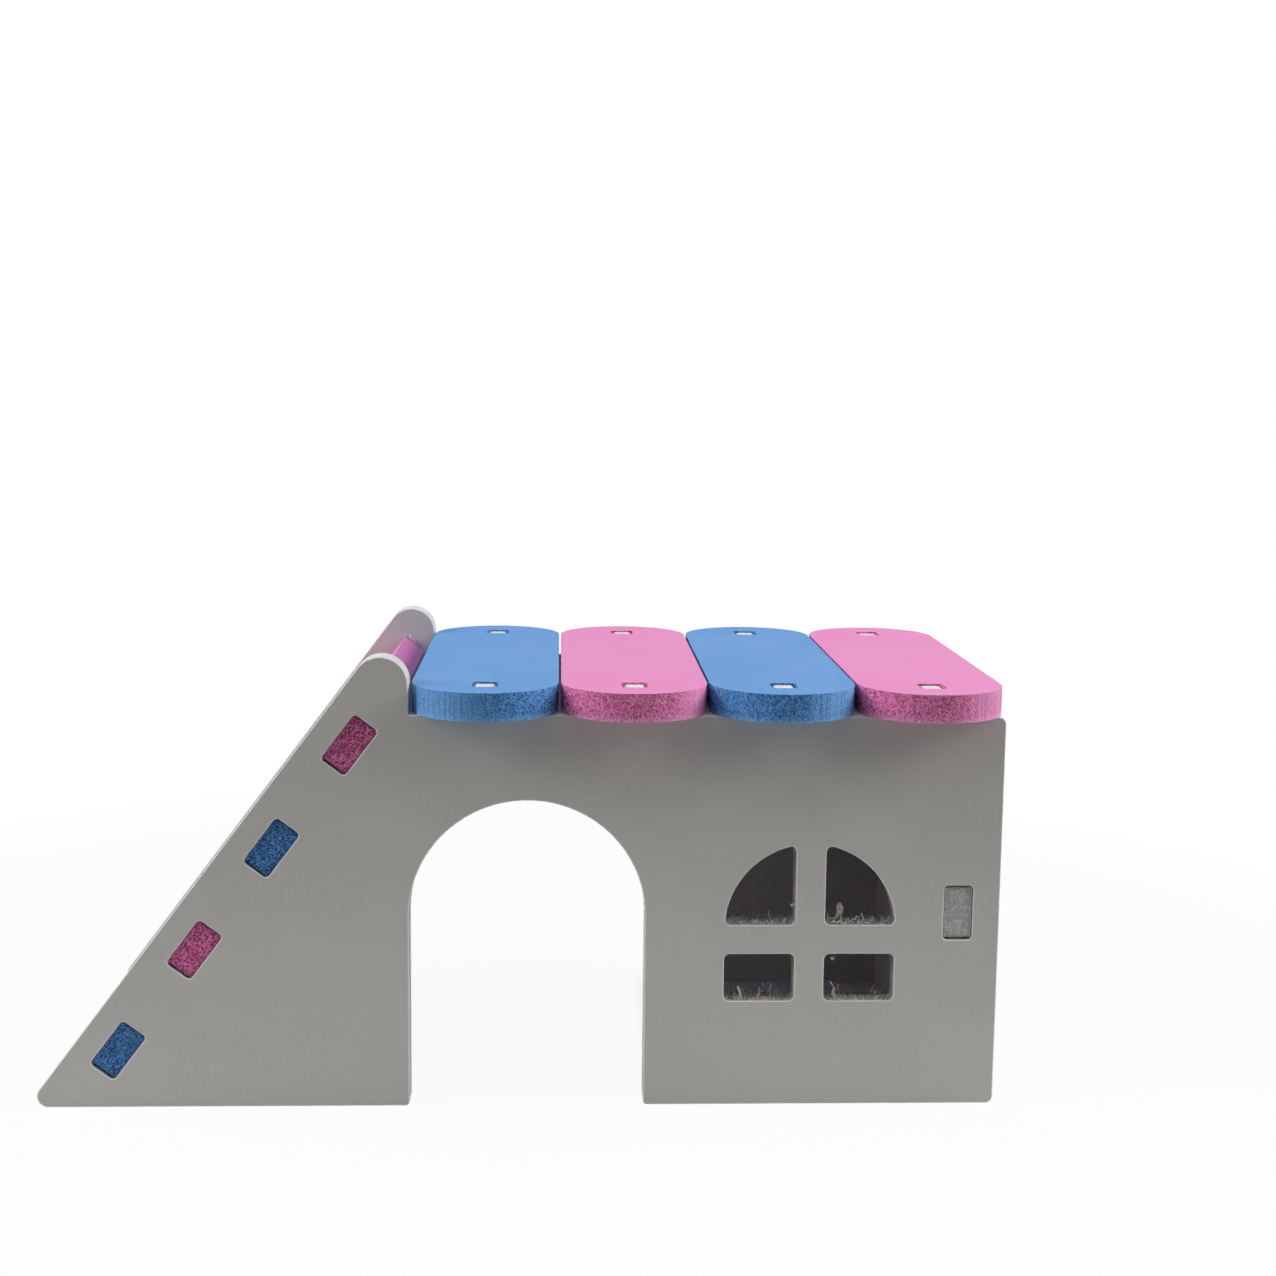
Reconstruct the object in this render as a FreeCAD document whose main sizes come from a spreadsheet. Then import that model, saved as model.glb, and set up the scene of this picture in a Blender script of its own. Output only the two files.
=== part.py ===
import FreeCAD, Part
import math
import os
import re
import Sketcher

# Hamster house: two side boards, a ladder wall, an end wall and a roof of loose slats.
#
# Every board is cut from one thickness of stiff foamed sheet and joins its neighbours by
# tenons pushed into slots.  The house stands on the lower edges of its side boards.  +X runs
# from the foot of the ladder to the end wall, +Y from the front board to the rear board and
# +Z up.  The origin is the middle of the whole house on the surface it stands on.
#
# Each side board is drawn from the sharp corner where its ladder edge would meet its base.

STEP_COUNT = 4
SLAT_COUNT = 4

SIZES = (
    # the boards and the house that they make, in millimetres and degrees
    ("board", 8.0, "thickness of every board"),
    ("house_depth", 118.0, "outer face to outer face of the side boards"),
    ("roof_height", 112.0, "base to the edge that the slats lie on"),
    ("slope_angle", 53.2, "ladder edge above the base"),
    ("notch_place", 107.2, "sharp toe corner to the upright edge beside the first slat"),
    ("lobe_radius", 7.6, "rounded top of the ladder edge"),
    ("toe_radius", 3.2, "rounded foot of the ladder edge"),
    ("corner_radius", 2.0, "square corners of the side boards"),
    ("notch_fillet", 0.3, "inner corner beside the first slat"),
    # roof
    ("slat_width", 40.9, "one roof slat, and the diameter of its ends"),
    ("slat_gap", 0.6, "between neighbouring slats"),
    ("slat_clearance", 0.1, "first slat to the end of that inner corner"),
    ("eaves", 11.2, "slats beyond the outer faces of the side boards"),
    ("roof_tenon_width", 6.4, "tenon that a slat drops over"),
    ("roof_tenon_corner", 1.2, "rounded shoulders of a roof tenon"),
    ("roof_tenon_recess", 0.5, "tenon top below the top of its slat"),
    ("mortise_play", 0.4, "slat mortise around its tenon, each side"),
    ("mortise_corner", 1.0, "corners of a slat mortise"),
    # openings
    ("door_place", 140.0, "middle of the front doorway"),
    ("door_width", 65.8, "front doorway"),
    ("door_height", 88.0, "crown of either doorway"),
    ("door_foot_radius", 1.2, "rounded feet of the doorways"),
    ("back_door_place", 138.0, "middle of the rear doorway"),
    ("back_door_width", 81.0, "rear doorway"),
    ("window_offset", 4.35, "middle of the window past half way from doorway to end wall"),
    ("window_width", 48.0, "window, and the diameter of its arched top"),
    ("window_sill", 30.5, "bottom of the lower panes"),
    ("window_crown", 75.7, "highest reach of the arched top"),
    ("transom_place", 44.0, "underside of the level glazing bar"),
    ("glazing_bar", 8.5, "width of both glazing bars"),
    ("pane_corner", 1.6, "rounded corners of the panes"),
    # tenons and slots of the steps and of the end wall
    ("tenon_length", 15.0, "long side of a tenon end"),
    ("tenon_recess", 0.7, "tenon end below the outer face"),
    ("tenon_corner", 1.2, "rounded corners of tenon ends and slots"),
    ("slot_play", 0.3, "slot beyond its tenon, at each end"),
    ("slot_fit", 0.05, "slot beyond its tenon, on each face"),
    # ladder wall and end wall
    ("step_width", 32.0, "one step, measured along the slope"),
    ("step_pitch", 36.2, "middle to middle of the steps along the slope"),
    ("first_step", 28.8, "sharp toe corner to the middle of the lowest step"),
    ("step_inset", 7.0, "ladder edge to the outer face of the steps"),
    ("wall_inset", 7.8, "right edge to the outer face of the end wall"),
)
NAMES = {name for name, size, meaning in SIZES}

# derived lengths, in the words of the sheet
ROW_START = "(notch_place + notch_fillet + slat_clearance)"
SLAT_ROW = f"({SLAT_COUNT} * slat_width + {SLAT_COUNT - 1} * slat_gap)"
PANEL_LENGTH = f"({ROW_START} + {SLAT_ROW})"
WALL_PLACE = f"({PANEL_LENGTH} - wall_inset - board)"
WINDOW_PLACE = f"((door_place + door_width / 2 + {WALL_PLACE}) / 2 + window_offset)"
TOE_TIP = "toe_radius * (1 / tan(slope_angle * 1deg / 2) - 1)"
CENTRE = f"(({TOE_TIP} + {PANEL_LENGTH}) / 2)"
INNER_DEPTH = "(house_depth - 2 * board)"
PANEL_OFFSET = "((house_depth - board) / 2)"
TENON_SPAN = "(house_depth - 2 * tenon_recess)"
STEP_DEPTH = "(step_inset + board / 2)"

doc = FreeCAD.newDocument("hamster_house")
sheet = doc.addObject("Spreadsheet::Sheet", "Sizes")


def fill_sheet():
    """Write each size as a plain number with its name as alias."""
    for row, (name, size, meaning) in enumerate(SIZES, start=1):
        sheet.set(f"A{row}", name)
        sheet.set(f"B{row}", str(size))
        sheet.set(f"C{row}", meaning)
        sheet.setAlias(f"B{row}", name)
    doc.recompute()


def tied(words):
    """Turn an expression in the sheet's own words into one any object can use."""
    def full(match):
        return f"Sizes.{match.group()}" if match.group() in NAMES else match.group()
    return re.sub(r"[a-z_]+", full, words)


def length(words):
    """The present value of an expression in the sheet's words."""
    value = doc.Sizes.evalExpression(words)
    return float(getattr(value, "Value", value))


class Outline:
    """Lines and arcs of one sketch, joined end to end and sized from the sheet."""

    START, END, MIDDLE = range(1, 4)
    ORIGIN = (-1, 1)
    LEVEL_AXIS = -1

    def __init__(self, sketch):
        self.sketch = sketch

    def line(self, start, end):
        first = FreeCAD.Vector(start[0], start[1], 0)
        last = FreeCAD.Vector(end[0], end[1], 0)
        return self.sketch.addGeometry(Part.LineSegment(first, last), False)

    def arc(self, centre, radius, start, end):
        """An arc that runs counter-clockwise between two angles in degrees."""
        middle = FreeCAD.Vector(centre[0], centre[1], 0)
        circle = Part.Circle(middle, FreeCAD.Vector(0, 0, 1), radius)
        curve = Part.ArcOfCircle(circle, math.radians(start), math.radians(end))
        return self.sketch.addGeometry(curve, False)

    def rule(self, kind, *places):
        return self.sketch.addConstraint(Sketcher.Constraint(kind, *places))

    def smooth(self, *joints):
        """Join pairs of ends so that one runs on into the other."""
        for first, second in joints:
            self.rule("Tangent", *first, *second)

    def size(self, name, words, kind, *places):
        """Add a dimension and tie it to the sheet."""
        value = length(words)
        if kind == "Angle":
            value = math.radians(value)
        index = self.rule(kind, *places, value)
        self.sketch.renameConstraint(index, name)
        unit = " * 1deg" if kind == "Angle" else ""
        self.sketch.setExpression(f"Constraints.{name}", tied(f"({words}){unit}"))

    def across(self, name, words, place):
        """Tie how far a point lies from the origin along the sketch's first axis."""
        self.size(name, words, "DistanceX", *self.ORIGIN, *place)

    def up(self, name, words, place):
        """Tie how far a point lies from the origin along the sketch's second axis."""
        self.size(name, words, "DistanceY", *self.ORIGIN, *place)

    def rounded_box(self, name, left, low, width, height, corner):
        """A rounded rectangle, each argument an expression in the sheet's words."""
        x1, y1, radius = length(left), length(low), length(corner)
        x2, y2 = x1 + length(width), y1 + length(height)
        bottom = self.line((x1 + radius, y1), (x2 - radius, y1))
        right = self.line((x2, y1 + radius), (x2, y2 - radius))
        top = self.line((x2 - radius, y2), (x1 + radius, y2))
        side = self.line((x1, y2 - radius), (x1, y1 + radius))
        corners = (
            self.arc((x2 - radius, y1 + radius), radius, -90, 0),
            self.arc((x2 - radius, y2 - radius), radius, 0, 90),
            self.arc((x1 + radius, y2 - radius), radius, 90, 180),
            self.arc((x1 + radius, y1 + radius), radius, 180, 270),
        )
        edges = (bottom, right, top, side, bottom)
        for number, bend in enumerate(corners):
            self.smooth(((edges[number], self.END), (bend, self.START)),
                        ((bend, self.END), (edges[number + 1], self.START)))
            if number:
                self.rule("Equal", corners[0], bend)
        for edge in (bottom, top):
            self.rule("Horizontal", edge)
        for edge in (right, side):
            self.rule("Vertical", edge)
        self.size(f"{name}_corner", corner, "Radius", corners[0])
        self.across(f"{name}_left", left, (side, self.START))
        self.up(f"{name}_low", low, (bottom, self.START))
        self.across(f"{name}_right", f"{left} + {width}", (right, self.START))
        self.up(f"{name}_high", f"{low} + {height}", (top, self.START))


def new_body(name):
    body = doc.addObject("PartDesign::Body", name)
    body.Label = name
    return body


def sketch_on(body, plane, name):
    """A sketch on one of the body's own origin planes."""
    sketch = body.newObject("Sketcher::SketchObject", name)
    face = next(item for item in body.Origin.OriginFeatures if item.Role == plane)
    sketch.AttachmentSupport = (face, [""])
    sketch.MapMode = "FlatFace"
    return sketch


def pad(body, sketch, name, words, both_ways=True):
    """Raise a sketch by a length, evenly to both sides or to one side."""
    feature = body.newObject("PartDesign::Pad", name)
    feature.Profile = sketch
    feature.SideType = "Symmetric" if both_ways else "One side"
    feature.setExpression("Length", tied(words))
    return feature


def cut_through(body, sketch, name):
    """Cut a sketch through the whole body, to both sides of its plane."""
    doc.recompute()
    before = body.Shape.Volume
    feature = body.newObject("PartDesign::Pocket", name)
    feature.Profile = sketch
    feature.Type = "ThroughAll"
    feature.SideType = "Symmetric"
    doc.recompute()
    if not body.Shape.Volume < before:
        raise RuntimeError(f"{name} took nothing from {body.Label}")
    return feature


def place(body, across, back, up, tilt="0"):
    """Put a body in the house and tilt it about +Y's opposite, all tied to the sheet."""
    axis = FreeCAD.Vector(0, -1, 0)
    turn = FreeCAD.Rotation(axis, length(tilt))
    body.Placement = FreeCAD.Placement(FreeCAD.Vector(0, 0, 0), turn)
    body.setExpression("Placement.Base.x", tied(f"{across} - {CENTRE}"))
    body.setExpression("Placement.Base.y", tied(back))
    body.setExpression("Placement.Base.z", tied(up))
    if tilt != "0":
        body.setExpression("Placement.Rotation.Angle", tied(f"({tilt}) * 1deg"))


def draw_board(sketch, door_place, door_width):
    """Outline of a side board: base, doorway, right edge, roof edge, lobe and ladder edge."""
    draw = Outline(sketch)
    start, end, middle = draw.START, draw.END, draw.MIDDLE
    slope = length("slope_angle")
    sine, cosine = math.sin(math.radians(slope)), math.cos(math.radians(slope))
    foot, corner = length("door_foot_radius"), length("corner_radius")
    fillet, lobe, toe = length("notch_fillet"), length("lobe_radius"), length("toe_radius")
    right, roof, notch = length(PANEL_LENGTH), length("roof_height"), length("notch_place")
    left_jamb = length(f"{door_place} - {door_width} / 2")
    right_jamb = length(f"{door_place} + {door_width} / 2")
    arch_words = f"door_height - {door_width} / 2"
    arch = length(arch_words)
    toe_middle = toe / math.tan(math.radians(slope / 2))
    lobe_up = ((notch - lobe) * sine - lobe) / cosine

    base_left = draw.line((toe_middle, 0), (left_jamb - foot, 0))
    foot_left = draw.arc((left_jamb - foot, foot), foot, -90, 0)
    jamb_left = draw.line((left_jamb, foot), (left_jamb, arch))
    crown = draw.arc((length(door_place), arch), (right_jamb - left_jamb) / 2, 0, 180)
    jamb_right = draw.line((right_jamb, arch), (right_jamb, foot))
    foot_right = draw.arc((right_jamb + foot, foot), foot, 180, 270)
    base_right = draw.line((right_jamb + foot, 0), (right - corner, 0))
    low_corner = draw.arc((right - corner, corner), corner, -90, 0)
    right_edge = draw.line((right, corner), (right, roof - corner))
    high_corner = draw.arc((right - corner, roof - corner), corner, 0, 90)
    roof_edge = draw.line((right - corner, roof), (notch + fillet, roof))
    inner_corner = draw.arc((notch + fillet, roof + fillet), fillet, 180, 270)
    notch_edge = draw.line((notch, roof + fillet), (notch, lobe_up))
    lobe_arc = draw.arc((notch - lobe, lobe_up), lobe, 0, 90 + slope)
    lobe_end = (notch - lobe - lobe * sine, lobe_up + lobe * cosine)
    toe_end = (toe_middle - toe * sine, toe + toe * cosine)
    ladder_edge = draw.line(lobe_end, toe_end)
    toe_arc = draw.arc((toe_middle, toe), toe, 90 + slope, 270)

    draw.smooth(
        ((base_left, end), (foot_left, start)), ((foot_left, end), (jamb_left, start)),
        ((jamb_left, end), (crown, end)), ((crown, start), (jamb_right, start)),
        ((jamb_right, end), (foot_right, start)), ((foot_right, end), (base_right, start)),
        ((base_right, end), (low_corner, start)), ((low_corner, end), (right_edge, start)),
        ((right_edge, end), (high_corner, start)), ((high_corner, end), (roof_edge, start)),
        ((roof_edge, end), (inner_corner, end)), ((inner_corner, start), (notch_edge, start)),
        ((notch_edge, end), (lobe_arc, start)), ((lobe_arc, end), (ladder_edge, start)),
        ((ladder_edge, end), (toe_arc, start)), ((toe_arc, end), (base_left, start)),
    )
    for level in (base_left, base_right, roof_edge):
        draw.rule("Horizontal", level)
    for upright in (jamb_left, jamb_right, right_edge, notch_edge):
        draw.rule("Vertical", upright)
    draw.rule("PointOnObject", base_left, start, draw.LEVEL_AXIS)
    draw.rule("PointOnObject", base_right, start, draw.LEVEL_AXIS)
    draw.rule("PointOnObject", *draw.ORIGIN, ladder_edge)
    draw.rule("Equal", foot_left, foot_right)
    draw.rule("Equal", low_corner, high_corner)
    draw.size("foot", "door_foot_radius", "Radius", foot_left)
    draw.size("corner", "corner_radius", "Radius", low_corner)
    draw.size("fillet", "notch_fillet", "Radius", inner_corner)
    draw.size("lobe", "lobe_radius", "Radius", lobe_arc)
    draw.size("toe", "toe_radius", "Radius", toe_arc)
    draw.size("slope", "slope_angle", "Angle", draw.LEVEL_AXIS, start, ladder_edge, end)
    draw.across("left_jamb", f"{door_place} - {door_width} / 2", (jamb_left, start))
    draw.across("right_jamb", f"{door_place} + {door_width} / 2", (jamb_right, start))
    draw.up("arch", arch_words, (crown, middle))
    draw.across("length", PANEL_LENGTH, (right_edge, start))
    draw.up("roof", "roof_height", (roof_edge, start))
    draw.across("notch", "notch_place", (notch_edge, start))


def slat_middle(number):
    """Distance from the toe corner to the middle of a slat, counted from 0."""
    return f"({ROW_START} + slat_width / 2 + {number} * (slat_width + slat_gap))"


def draw_roof_tenon(draw, number):
    """A tab on the roof edge, with rounded shoulders."""
    start, end = draw.START, draw.END
    left_words = f"{slat_middle(number)} - roof_tenon_width / 2"
    right_words = f"{slat_middle(number)} + roof_tenon_width / 2"
    top_words = "roof_height + board - roof_tenon_recess"
    left, right, top = length(left_words), length(right_words), length(top_words)
    base, bend = length("roof_height"), length("roof_tenon_corner")
    foot = draw.line((left, base), (right, base))
    right_side = draw.line((right, base), (right, top - bend))
    right_bend = draw.arc((right - bend, top - bend), bend, 0, 90)
    flat = draw.line((right - bend, top), (left + bend, top))
    left_bend = draw.arc((left + bend, top - bend), bend, 90, 180)
    left_side = draw.line((left, top - bend), (left, base))
    draw.rule("Coincident", foot, end, right_side, start)
    draw.rule("Coincident", left_side, end, foot, start)
    draw.smooth(
        ((right_side, end), (right_bend, start)), ((right_bend, end), (flat, start)),
        ((flat, end), (left_bend, start)), ((left_bend, end), (left_side, start)),
    )
    draw.rule("Horizontal", foot)
    draw.rule("Horizontal", flat)
    draw.rule("Vertical", right_side)
    draw.rule("Vertical", left_side)
    draw.rule("Equal", right_bend, left_bend)
    tag = f"tenon_{number + 1}"
    draw.size(f"{tag}_bend", "roof_tenon_corner", "Radius", right_bend)
    draw.across(f"{tag}_left", left_words, (left_side, start))
    draw.across(f"{tag}_right", right_words, (right_side, start))
    draw.up(f"{tag}_top", top_words, (flat, start))
    draw.up(f"{tag}_base", "roof_height", (foot, start))


def draw_arched_pane(draw, side):
    """An upper pane: two straight sides and a quarter of the window's arch, rounded corners.

    side is 1 for the pane to the right of the upright bar and -1 for the pane to its left.
    """
    first, last = (draw.START, draw.END) if side > 0 else (draw.END, draw.START)
    start, end, middle = draw.START, draw.END, draw.MIDDLE
    arch_words = "window_crown - window_width / 2"
    bar_words = f"{WINDOW_PLACE} + {side} * glazing_bar / 2"
    low_words = "transom_place + glazing_bar"
    centre, arch = length(WINDOW_PLACE), length(arch_words)
    radius, bend = length("window_width / 2"), length("pane_corner")
    bar, low = length("glazing_bar / 2"), length(low_words)
    far_up = low + bend - arch
    far_out = math.sqrt((radius - bend) ** 2 - far_up ** 2)
    near_out = bar + bend
    near_up = math.sqrt((radius - bend) ** 2 - near_out ** 2)
    far_angle = math.degrees(math.atan2(far_up, far_out))
    near_angle = math.degrees(math.atan2(near_up, near_out))

    def curve(out, up, size, begin, finish):
        """An arc given for the right-hand pane, mirrored for the left-hand one."""
        if side < 0:
            begin, finish = 180 - finish, 180 - begin
        return draw.arc((centre + side * out, arch + up), size, begin, finish)

    low_line = draw.line((centre + side * near_out, low), (centre + side * far_out, low))
    far_bend = curve(far_out, far_up, bend, -90, far_angle)
    arch_arc = curve(0, 0, radius, far_angle, near_angle)
    near_bend = curve(near_out, near_up, bend, near_angle, 180)
    bar_line = draw.line((centre + side * bar, arch + near_up), (centre + side * bar, low + bend))
    low_bend = curve(near_out, far_up, bend, 180, 270)
    draw.smooth(
        ((low_line, end), (far_bend, first)), ((far_bend, last), (arch_arc, first)),
        ((arch_arc, last), (near_bend, first)), ((near_bend, last), (bar_line, start)),
        ((bar_line, end), (low_bend, first)), ((low_bend, last), (low_line, start)),
    )
    draw.rule("Horizontal", low_line)
    draw.rule("Vertical", bar_line)
    draw.rule("Equal", far_bend, near_bend)
    draw.rule("Equal", far_bend, low_bend)
    tag = "right_pane" if side > 0 else "left_pane"
    draw.size(f"{tag}_bend", "pane_corner", "Radius", far_bend)
    draw.size(f"{tag}_arch", "window_width / 2", "Radius", arch_arc)
    draw.across(f"{tag}_centre", WINDOW_PLACE, (arch_arc, middle))
    draw.up(f"{tag}_spring", arch_words, (arch_arc, middle))
    draw.across(f"{tag}_bar", bar_words, (bar_line, start))
    draw.up(f"{tag}_low", low_words, (low_line, start))


def draw_window(sketch):
    """Two arched panes above two square ones."""
    draw = Outline(sketch)
    for side in (1, -1):
        draw_arched_pane(draw, side)
    pane_width = "(window_width - glazing_bar) / 2"
    pane_height = "(transom_place - window_sill)"
    lefts = (f"{WINDOW_PLACE} - window_width / 2", f"{WINDOW_PLACE} + glazing_bar / 2")
    for tag, left in zip(("low_left", "low_right"), lefts):
        draw.rounded_box(tag, left, "window_sill", pane_width, pane_height, "pane_corner")


def draw_ladder_slots(sketch):
    """Slots for the steps, drawn along the ladder edge."""
    turn = FreeCAD.Rotation(FreeCAD.Vector(0, 0, 1), length("slope_angle"))
    sketch.AttachmentOffset = FreeCAD.Placement(FreeCAD.Vector(0, 0, 0), turn)
    sketch.setExpression("AttachmentOffset.Rotation.Angle", tied("slope_angle * 1deg"))
    draw = Outline(sketch)
    for number in range(STEP_COUNT):
        left = f"first_step + {number} * step_pitch - tenon_length / 2 - slot_play"
        low = "-step_inset - board - slot_fit"
        draw.rounded_box(f"slot_{number + 1}", left, low, "tenon_length + 2 * slot_play",
                         "board + 2 * slot_fit", "tenon_corner")


def draw_wall_slot(sketch):
    """Slot for the end wall's tenon, half way up the board."""
    left = f"{WALL_PLACE} - slot_fit"
    low = "roof_height / 2 - tenon_length / 2 - slot_play"
    Outline(sketch).rounded_box("slot", left, low, "board + 2 * slot_fit",
                                "tenon_length + 2 * slot_play", "tenon_corner")


def side_panel(name, back, door_place, door_width, window):
    """One side board with its roof tenons, doorway, slots and, if asked for, a window."""
    body = new_body(name)
    board = sketch_on(body, "XZ_Plane", f"{name}_outline")
    draw_board(board, door_place, door_width)
    pad(body, board, f"{name}_board", "board")
    tenons = sketch_on(body, "XZ_Plane", f"{name}_tenon_outline")
    draw = Outline(tenons)
    for number in range(SLAT_COUNT):
        draw_roof_tenon(draw, number)
    pad(body, tenons, f"{name}_tenons", "board")
    slots = sketch_on(body, "XZ_Plane", f"{name}_ladder_outline")
    draw_ladder_slots(slots)
    cut_through(body, slots, f"{name}_ladder_slots")
    wall_slot = sketch_on(body, "XZ_Plane", f"{name}_wall_outline")
    draw_wall_slot(wall_slot)
    cut_through(body, wall_slot, f"{name}_wall_slot")
    if window:
        panes = sketch_on(body, "XZ_Plane", f"{name}_pane_outline")
        draw_window(panes)
        cut_through(body, panes, f"{name}_window")
    place(body, "0", back, "0")
    return body


def cross_board(name, width, across, up, tilt):
    """A board between the side boards, with one tenon through each of them.

    Its width lies along its own X, its thickness along its own Z.
    """
    body = new_body(name)
    plank = sketch_on(body, "XZ_Plane", f"{name}_plank_outline")
    sharp = Outline(plank)
    x, z = length(f"{width} / 2"), length("board / 2")
    corners = ((-x, -z), (x, -z), (x, z), (-x, z), (-x, -z))
    sides = [sharp.line(one, two) for one, two in zip(corners, corners[1:])]
    for one, two in zip(sides, sides[1:] + sides[:1]):
        sharp.rule("Coincident", one, sharp.END, two, sharp.START)
    for number, edge in enumerate(sides):
        sharp.rule("Vertical" if number % 2 else "Horizontal", edge)
    sharp.rule("Symmetric", sides[0], sharp.START, sides[2], sharp.START, *sharp.ORIGIN)
    sharp.size("width", width, "DistanceX", sides[0], sharp.START, sides[0], sharp.END)
    sharp.size("thickness", "board", "DistanceY", sides[1], sharp.START, sides[1], sharp.END)
    pad(body, plank, f"{name}_plank", INNER_DEPTH)
    tenon = sketch_on(body, "XZ_Plane", f"{name}_tenon_outline")
    Outline(tenon).rounded_box("tenon", "-tenon_length / 2", "-board / 2", "tenon_length",
                               "board", "tenon_corner")
    pad(body, tenon, f"{name}_tenons", TENON_SPAN)
    place(body, across, "0", up, tilt)
    return body


def ladder_step(number):
    """A sloping board of the ladder wall, counted from 0 at the foot."""
    along = f"(first_step + {number} * step_pitch)"
    across = f"{along} * cos(slope_angle * 1deg) + {STEP_DEPTH} * sin(slope_angle * 1deg)"
    up = f"{along} * sin(slope_angle * 1deg) - {STEP_DEPTH} * cos(slope_angle * 1deg)"
    return cross_board(f"ladder_step_{number + 1}", "step_width", across, up, "slope_angle")


def end_wall():
    """The upright board near the right edge, as tall as the side boards' roof edge."""
    across = f"{WALL_PLACE} + board / 2"
    return cross_board("end_wall", "roof_height", across, "roof_height / 2", "90")


def roof_slat(number):
    """A round-ended board that drops over one tenon of each side board."""
    body = new_body(f"roof_slat_{number + 1}")
    outline = sketch_on(body, "XY_Plane", f"slat_outline_{number + 1}")
    draw = Outline(outline)
    start, end, middle = draw.START, draw.END, draw.MIDDLE
    half_words = "(house_depth / 2 + eaves - slat_width / 2)"
    radius, half = length("slat_width / 2"), length(half_words)
    right = draw.line((radius, -half), (radius, half))
    rear = draw.arc((0, half), radius, 0, 180)
    left = draw.line((-radius, half), (-radius, -half))
    front = draw.arc((0, -half), radius, 180, 360)
    draw.smooth(
        ((right, end), (rear, start)), ((rear, end), (left, start)),
        ((left, end), (front, start)), ((front, end), (right, start)),
    )
    draw.rule("Vertical", right)
    draw.rule("Equal", rear, front)
    draw.rule("Symmetric", rear, middle, front, middle, *draw.ORIGIN)
    draw.size("end_radius", "slat_width / 2", "Radius", rear)
    draw.size("straight", f"2 * {half_words}", "DistanceY", right, start, right, end)
    pad(body, outline, f"slat_board_{number + 1}", "board", both_ways=False)
    mortises = sketch_on(body, "XY_Plane", f"mortise_outline_{number + 1}")
    cutter = Outline(mortises)
    width, depth = "(roof_tenon_width + 2 * mortise_play)", "(board + 2 * mortise_play)"
    for tag, sign in (("front", "-"), ("rear", "")):
        low = f"{sign}{PANEL_OFFSET} - {depth} / 2"
        cutter.rounded_box(tag, f"-{width} / 2", low, width, depth, "mortise_corner")
    cut_through(body, mortises, f"slat_mortises_{number + 1}")
    place(body, slat_middle(number), "0", "roof_height")
    return body


def build():
    """Make every board of the house."""
    fill_sheet()
    boards = [
        side_panel("front_side_panel", f"-{PANEL_OFFSET}", "door_place", "door_width", True),
        side_panel("rear_side_panel", PANEL_OFFSET, "back_door_place", "back_door_width", False),
        end_wall(),
    ]
    boards += [ladder_step(number) for number in range(STEP_COUNT)]
    boards += [roof_slat(number) for number in range(SLAT_COUNT)]
    doc.recompute()
    return boards


def check(boards):
    """Stop on any failed feature, loose sketch or unsound solid."""
    for item in doc.Objects:
        if "Invalid" in item.State or "Error" in item.State:
            raise RuntimeError(f"{item.Label} failed: {item.State}")
        if item.TypeId == "Sketcher::SketchObject" and not item.FullyConstrained:
            raise RuntimeError(f"{item.Label} is not fully tied down")
    for body in boards:
        shape = body.Shape
        if shape.isNull() or not shape.isValid() or len(shape.Solids) != 1:
            raise RuntimeError(f"{body.Label} is not one sound solid")


def write(boards):
    """Write each board to its own file and say its size."""
    os.makedirs("parts", exist_ok=True)
    for body in boards:
        body.Shape.exportStep(f"parts/{body.Label}.step")
        box = body.Shape.BoundBox
        corners = (box.XMin, box.YMin, box.ZMin, box.XMax, box.YMax, box.ZMax)
        print(body.Label, *(round(value, 2) for value in corners), round(body.Shape.Volume, 1))


house = build()
check(house)
write(house)
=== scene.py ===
import math
import random

import bmesh
import bpy
from mathutils import Euler, Matrix, Vector


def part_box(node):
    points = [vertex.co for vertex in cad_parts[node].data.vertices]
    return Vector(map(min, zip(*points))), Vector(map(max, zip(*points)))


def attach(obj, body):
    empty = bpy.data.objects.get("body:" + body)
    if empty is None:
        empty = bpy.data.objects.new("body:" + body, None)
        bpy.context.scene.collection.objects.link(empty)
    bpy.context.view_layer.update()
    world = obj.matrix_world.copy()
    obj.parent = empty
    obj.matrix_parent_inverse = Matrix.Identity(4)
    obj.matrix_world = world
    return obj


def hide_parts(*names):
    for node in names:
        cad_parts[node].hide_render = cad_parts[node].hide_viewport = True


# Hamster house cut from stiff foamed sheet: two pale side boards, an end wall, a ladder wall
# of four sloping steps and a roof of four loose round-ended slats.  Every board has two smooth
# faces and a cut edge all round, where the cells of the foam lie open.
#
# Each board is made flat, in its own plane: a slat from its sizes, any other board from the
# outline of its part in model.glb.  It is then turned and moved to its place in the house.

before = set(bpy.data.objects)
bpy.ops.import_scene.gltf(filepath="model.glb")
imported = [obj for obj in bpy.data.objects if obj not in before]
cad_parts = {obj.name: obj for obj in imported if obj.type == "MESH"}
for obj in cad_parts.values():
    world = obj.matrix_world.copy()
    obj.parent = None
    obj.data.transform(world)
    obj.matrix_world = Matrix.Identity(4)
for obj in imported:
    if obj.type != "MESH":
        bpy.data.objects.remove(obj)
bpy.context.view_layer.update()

MM = 0.001
STEP_COUNT = 4
SLAT_COUNT = 4

# boards
SLAT_LOW, SLAT_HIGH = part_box("roof_slat_1")
BOARD = SLAT_HIGH.z - SLAT_LOW.z
LADDER_SLOPE = math.radians(53.2)
SIDE_TURN = Euler((math.radians(90.0), 0.0, 0.0))
WALL_TURN = Euler((0.0, -math.radians(90.0), 0.0))
STEP_TURN = Euler((0.0, -LADDER_SLOPE, 0.0))

# outlines: radius of the corners on the side boards and on the boards that cross between them,
# points that round a corner and an arris, the gap that is closed and the bend that is none
PANEL_CORNER = 0.3 * MM
CROSS_CORNER = 0.6 * MM
CORNER_POINTS = 3
ARRIS_POINTS = 3
WELD = 0.001 * MM
STRAIGHT = math.radians(0.2)

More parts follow.
